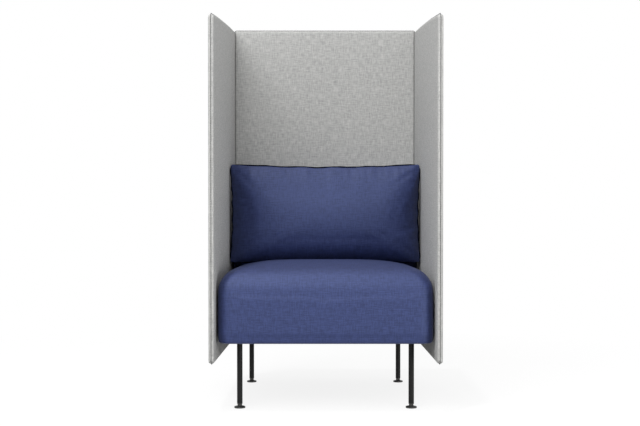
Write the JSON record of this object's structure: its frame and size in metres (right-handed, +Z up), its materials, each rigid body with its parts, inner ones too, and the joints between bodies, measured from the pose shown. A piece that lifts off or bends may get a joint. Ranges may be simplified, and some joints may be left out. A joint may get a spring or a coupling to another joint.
{
  "type": "acoustic high back lounge chair",
  "caption": "Padded lounge chair with a seat block and loose back cushion inside tall sound-absorbing screens at the back and sides, on round metal legs with levelling feet",
  "frame": {"origin": "on the floor, below the centre of the chair's bounding box", "axes": "+X to the viewer's right when facing the open front, -Y towards the open front, +Z up"},
  "size_m": [0.736, 0.798, 1.357],
  "materials": {
    "grey_fabric": "matte",
    "fleece": "matte",
    "core_board": "matte",
    "blue_fabric": "matte",
    "foam": "matte",
    "timber": "matte",
    "webbing": "matte",
    "lining": "matte",
    "black_metal": "satin",
    "zinc_steel": "satin",
    "black_plastic": "matte"
  },
  "bodies": {
    "chair": {"back_board": "timber", "back_cover": "blue_fabric", "back_foam": "foam", "back_hooks": "zinc_steel", "back_screen_core": "core_board", "back_screen_fleece": "fleece", "back_screen_inner_fabric": "grey_fabric", "back_screen_outer_fabric": "grey_fabric", "bottom_lining": "lining", "centre_bearer": "timber", "corner_dowels": "timber", "crosswise_webbing": "webbing", "frame_wrap": "foam", "front_left_corner_block": "timber", "front_left_leg": "black_metal", "front_left_plug": "black_plastic", "front_rail": "timber", "front_right_corner_block": "timber", "front_right_leg": "black_metal", "front_right_plug": "black_plastic", "left_rail": "timber", "left_wing_core": "core_board", "left_wing_fleece": "fleece", "left_wing_inner_fabric": "grey_fabric", "left_wing_outer_fabric": "grey_fabric", "leg_screws": "zinc_steel", "lengthwise_webbing": "webbing", "rear_left_corner_block": "timber", "rear_left_leg": "black_metal", "rear_left_plug": "black_plastic", "rear_rail": "timber", "rear_right_corner_block": "timber", "rear_right_leg": "black_metal", "rear_right_plug": "black_plastic", "right_rail": "timber", "right_wing_core": "core_board", "right_wing_fleece": "fleece", "right_wing_inner_fabric": "grey_fabric", "right_wing_outer_fabric": "grey_fabric", "screen_bolts": "zinc_steel", "screen_hooks": "zinc_steel", "screen_nuts": "zinc_steel", "screen_spacers": "black_plastic", "seat_cover": "blue_fabric", "seat_foam": "foam", "webbing_rail": "timber"},
    "front_left_foot": {"front_left_pad": "black_plastic"},
    "front_left_screw": {"front_left_stem": "zinc_steel"},
    "front_right_foot": {"front_right_pad": "black_plastic"},
    "front_right_screw": {"front_right_stem": "zinc_steel"},
    "rear_left_foot": {"rear_left_pad": "black_plastic"},
    "rear_left_screw": {"rear_left_stem": "zinc_steel"},
    "rear_right_foot": {"rear_right_pad": "black_plastic"},
    "rear_right_screw": {"rear_right_stem": "zinc_steel"},
    "cushion": {"cushion_cover": "blue_fabric", "cushion_filling": "foam"}
  },
  "joints": [
    {"name": "front_left_foot_travel", "type": "slide", "parent": "chair", "child": "front_left_foot", "axis": [0, 0, -1], "range_m": [0, 0.01]},
    {"name": "front_left_screw_turn", "type": "hinge", "parent": "front_left_foot", "child": "front_left_screw", "pos_m": [-0.28, -0.267, 0], "axis": [0, 0, 1], "range_deg": [0, 2880]},
    {"name": "front_right_foot_travel", "type": "slide", "parent": "chair", "child": "front_right_foot", "axis": [0, 0, -1], "range_m": [0, 0.01]},
    {"name": "front_right_screw_turn", "type": "hinge", "parent": "front_right_foot", "child": "front_right_screw", "pos_m": [0.28, -0.267, 0], "axis": [0, 0, 1], "range_deg": [0, 2880]},
    {"name": "rear_left_foot_travel", "type": "slide", "parent": "chair", "child": "rear_left_foot", "axis": [0, 0, -1], "range_m": [0, 0.01]},
    {"name": "rear_left_screw_turn", "type": "hinge", "parent": "rear_left_foot", "child": "rear_left_screw", "pos_m": [-0.28, 0.293, 0], "axis": [0, 0, 1], "range_deg": [0, 2880]},
    {"name": "rear_right_foot_travel", "type": "slide", "parent": "chair", "child": "rear_right_foot", "axis": [0, 0, -1], "range_m": [0, 0.01]},
    {"name": "rear_right_screw_turn", "type": "hinge", "parent": "rear_right_foot", "child": "rear_right_screw", "pos_m": [0.28, 0.293, 0], "axis": [0, 0, 1], "range_deg": [0, 2880]},
    {"name": "cushion_lift", "type": "slide", "parent": "chair", "child": "cushion", "axis": [0, 0, 1], "range_m": [0, 0.9]}
  ],
  "couplings": [
    {"joint": "front_left_foot_travel", "follows": "front_left_screw_turn", "m_per_rad": 0.00019894},
    {"joint": "front_right_foot_travel", "follows": "front_right_screw_turn", "m_per_rad": 0.00019894},
    {"joint": "rear_left_foot_travel", "follows": "rear_left_screw_turn", "m_per_rad": 0.00019894},
    {"joint": "rear_right_foot_travel", "follows": "rear_right_screw_turn", "m_per_rad": 0.00019894}
  ]
}
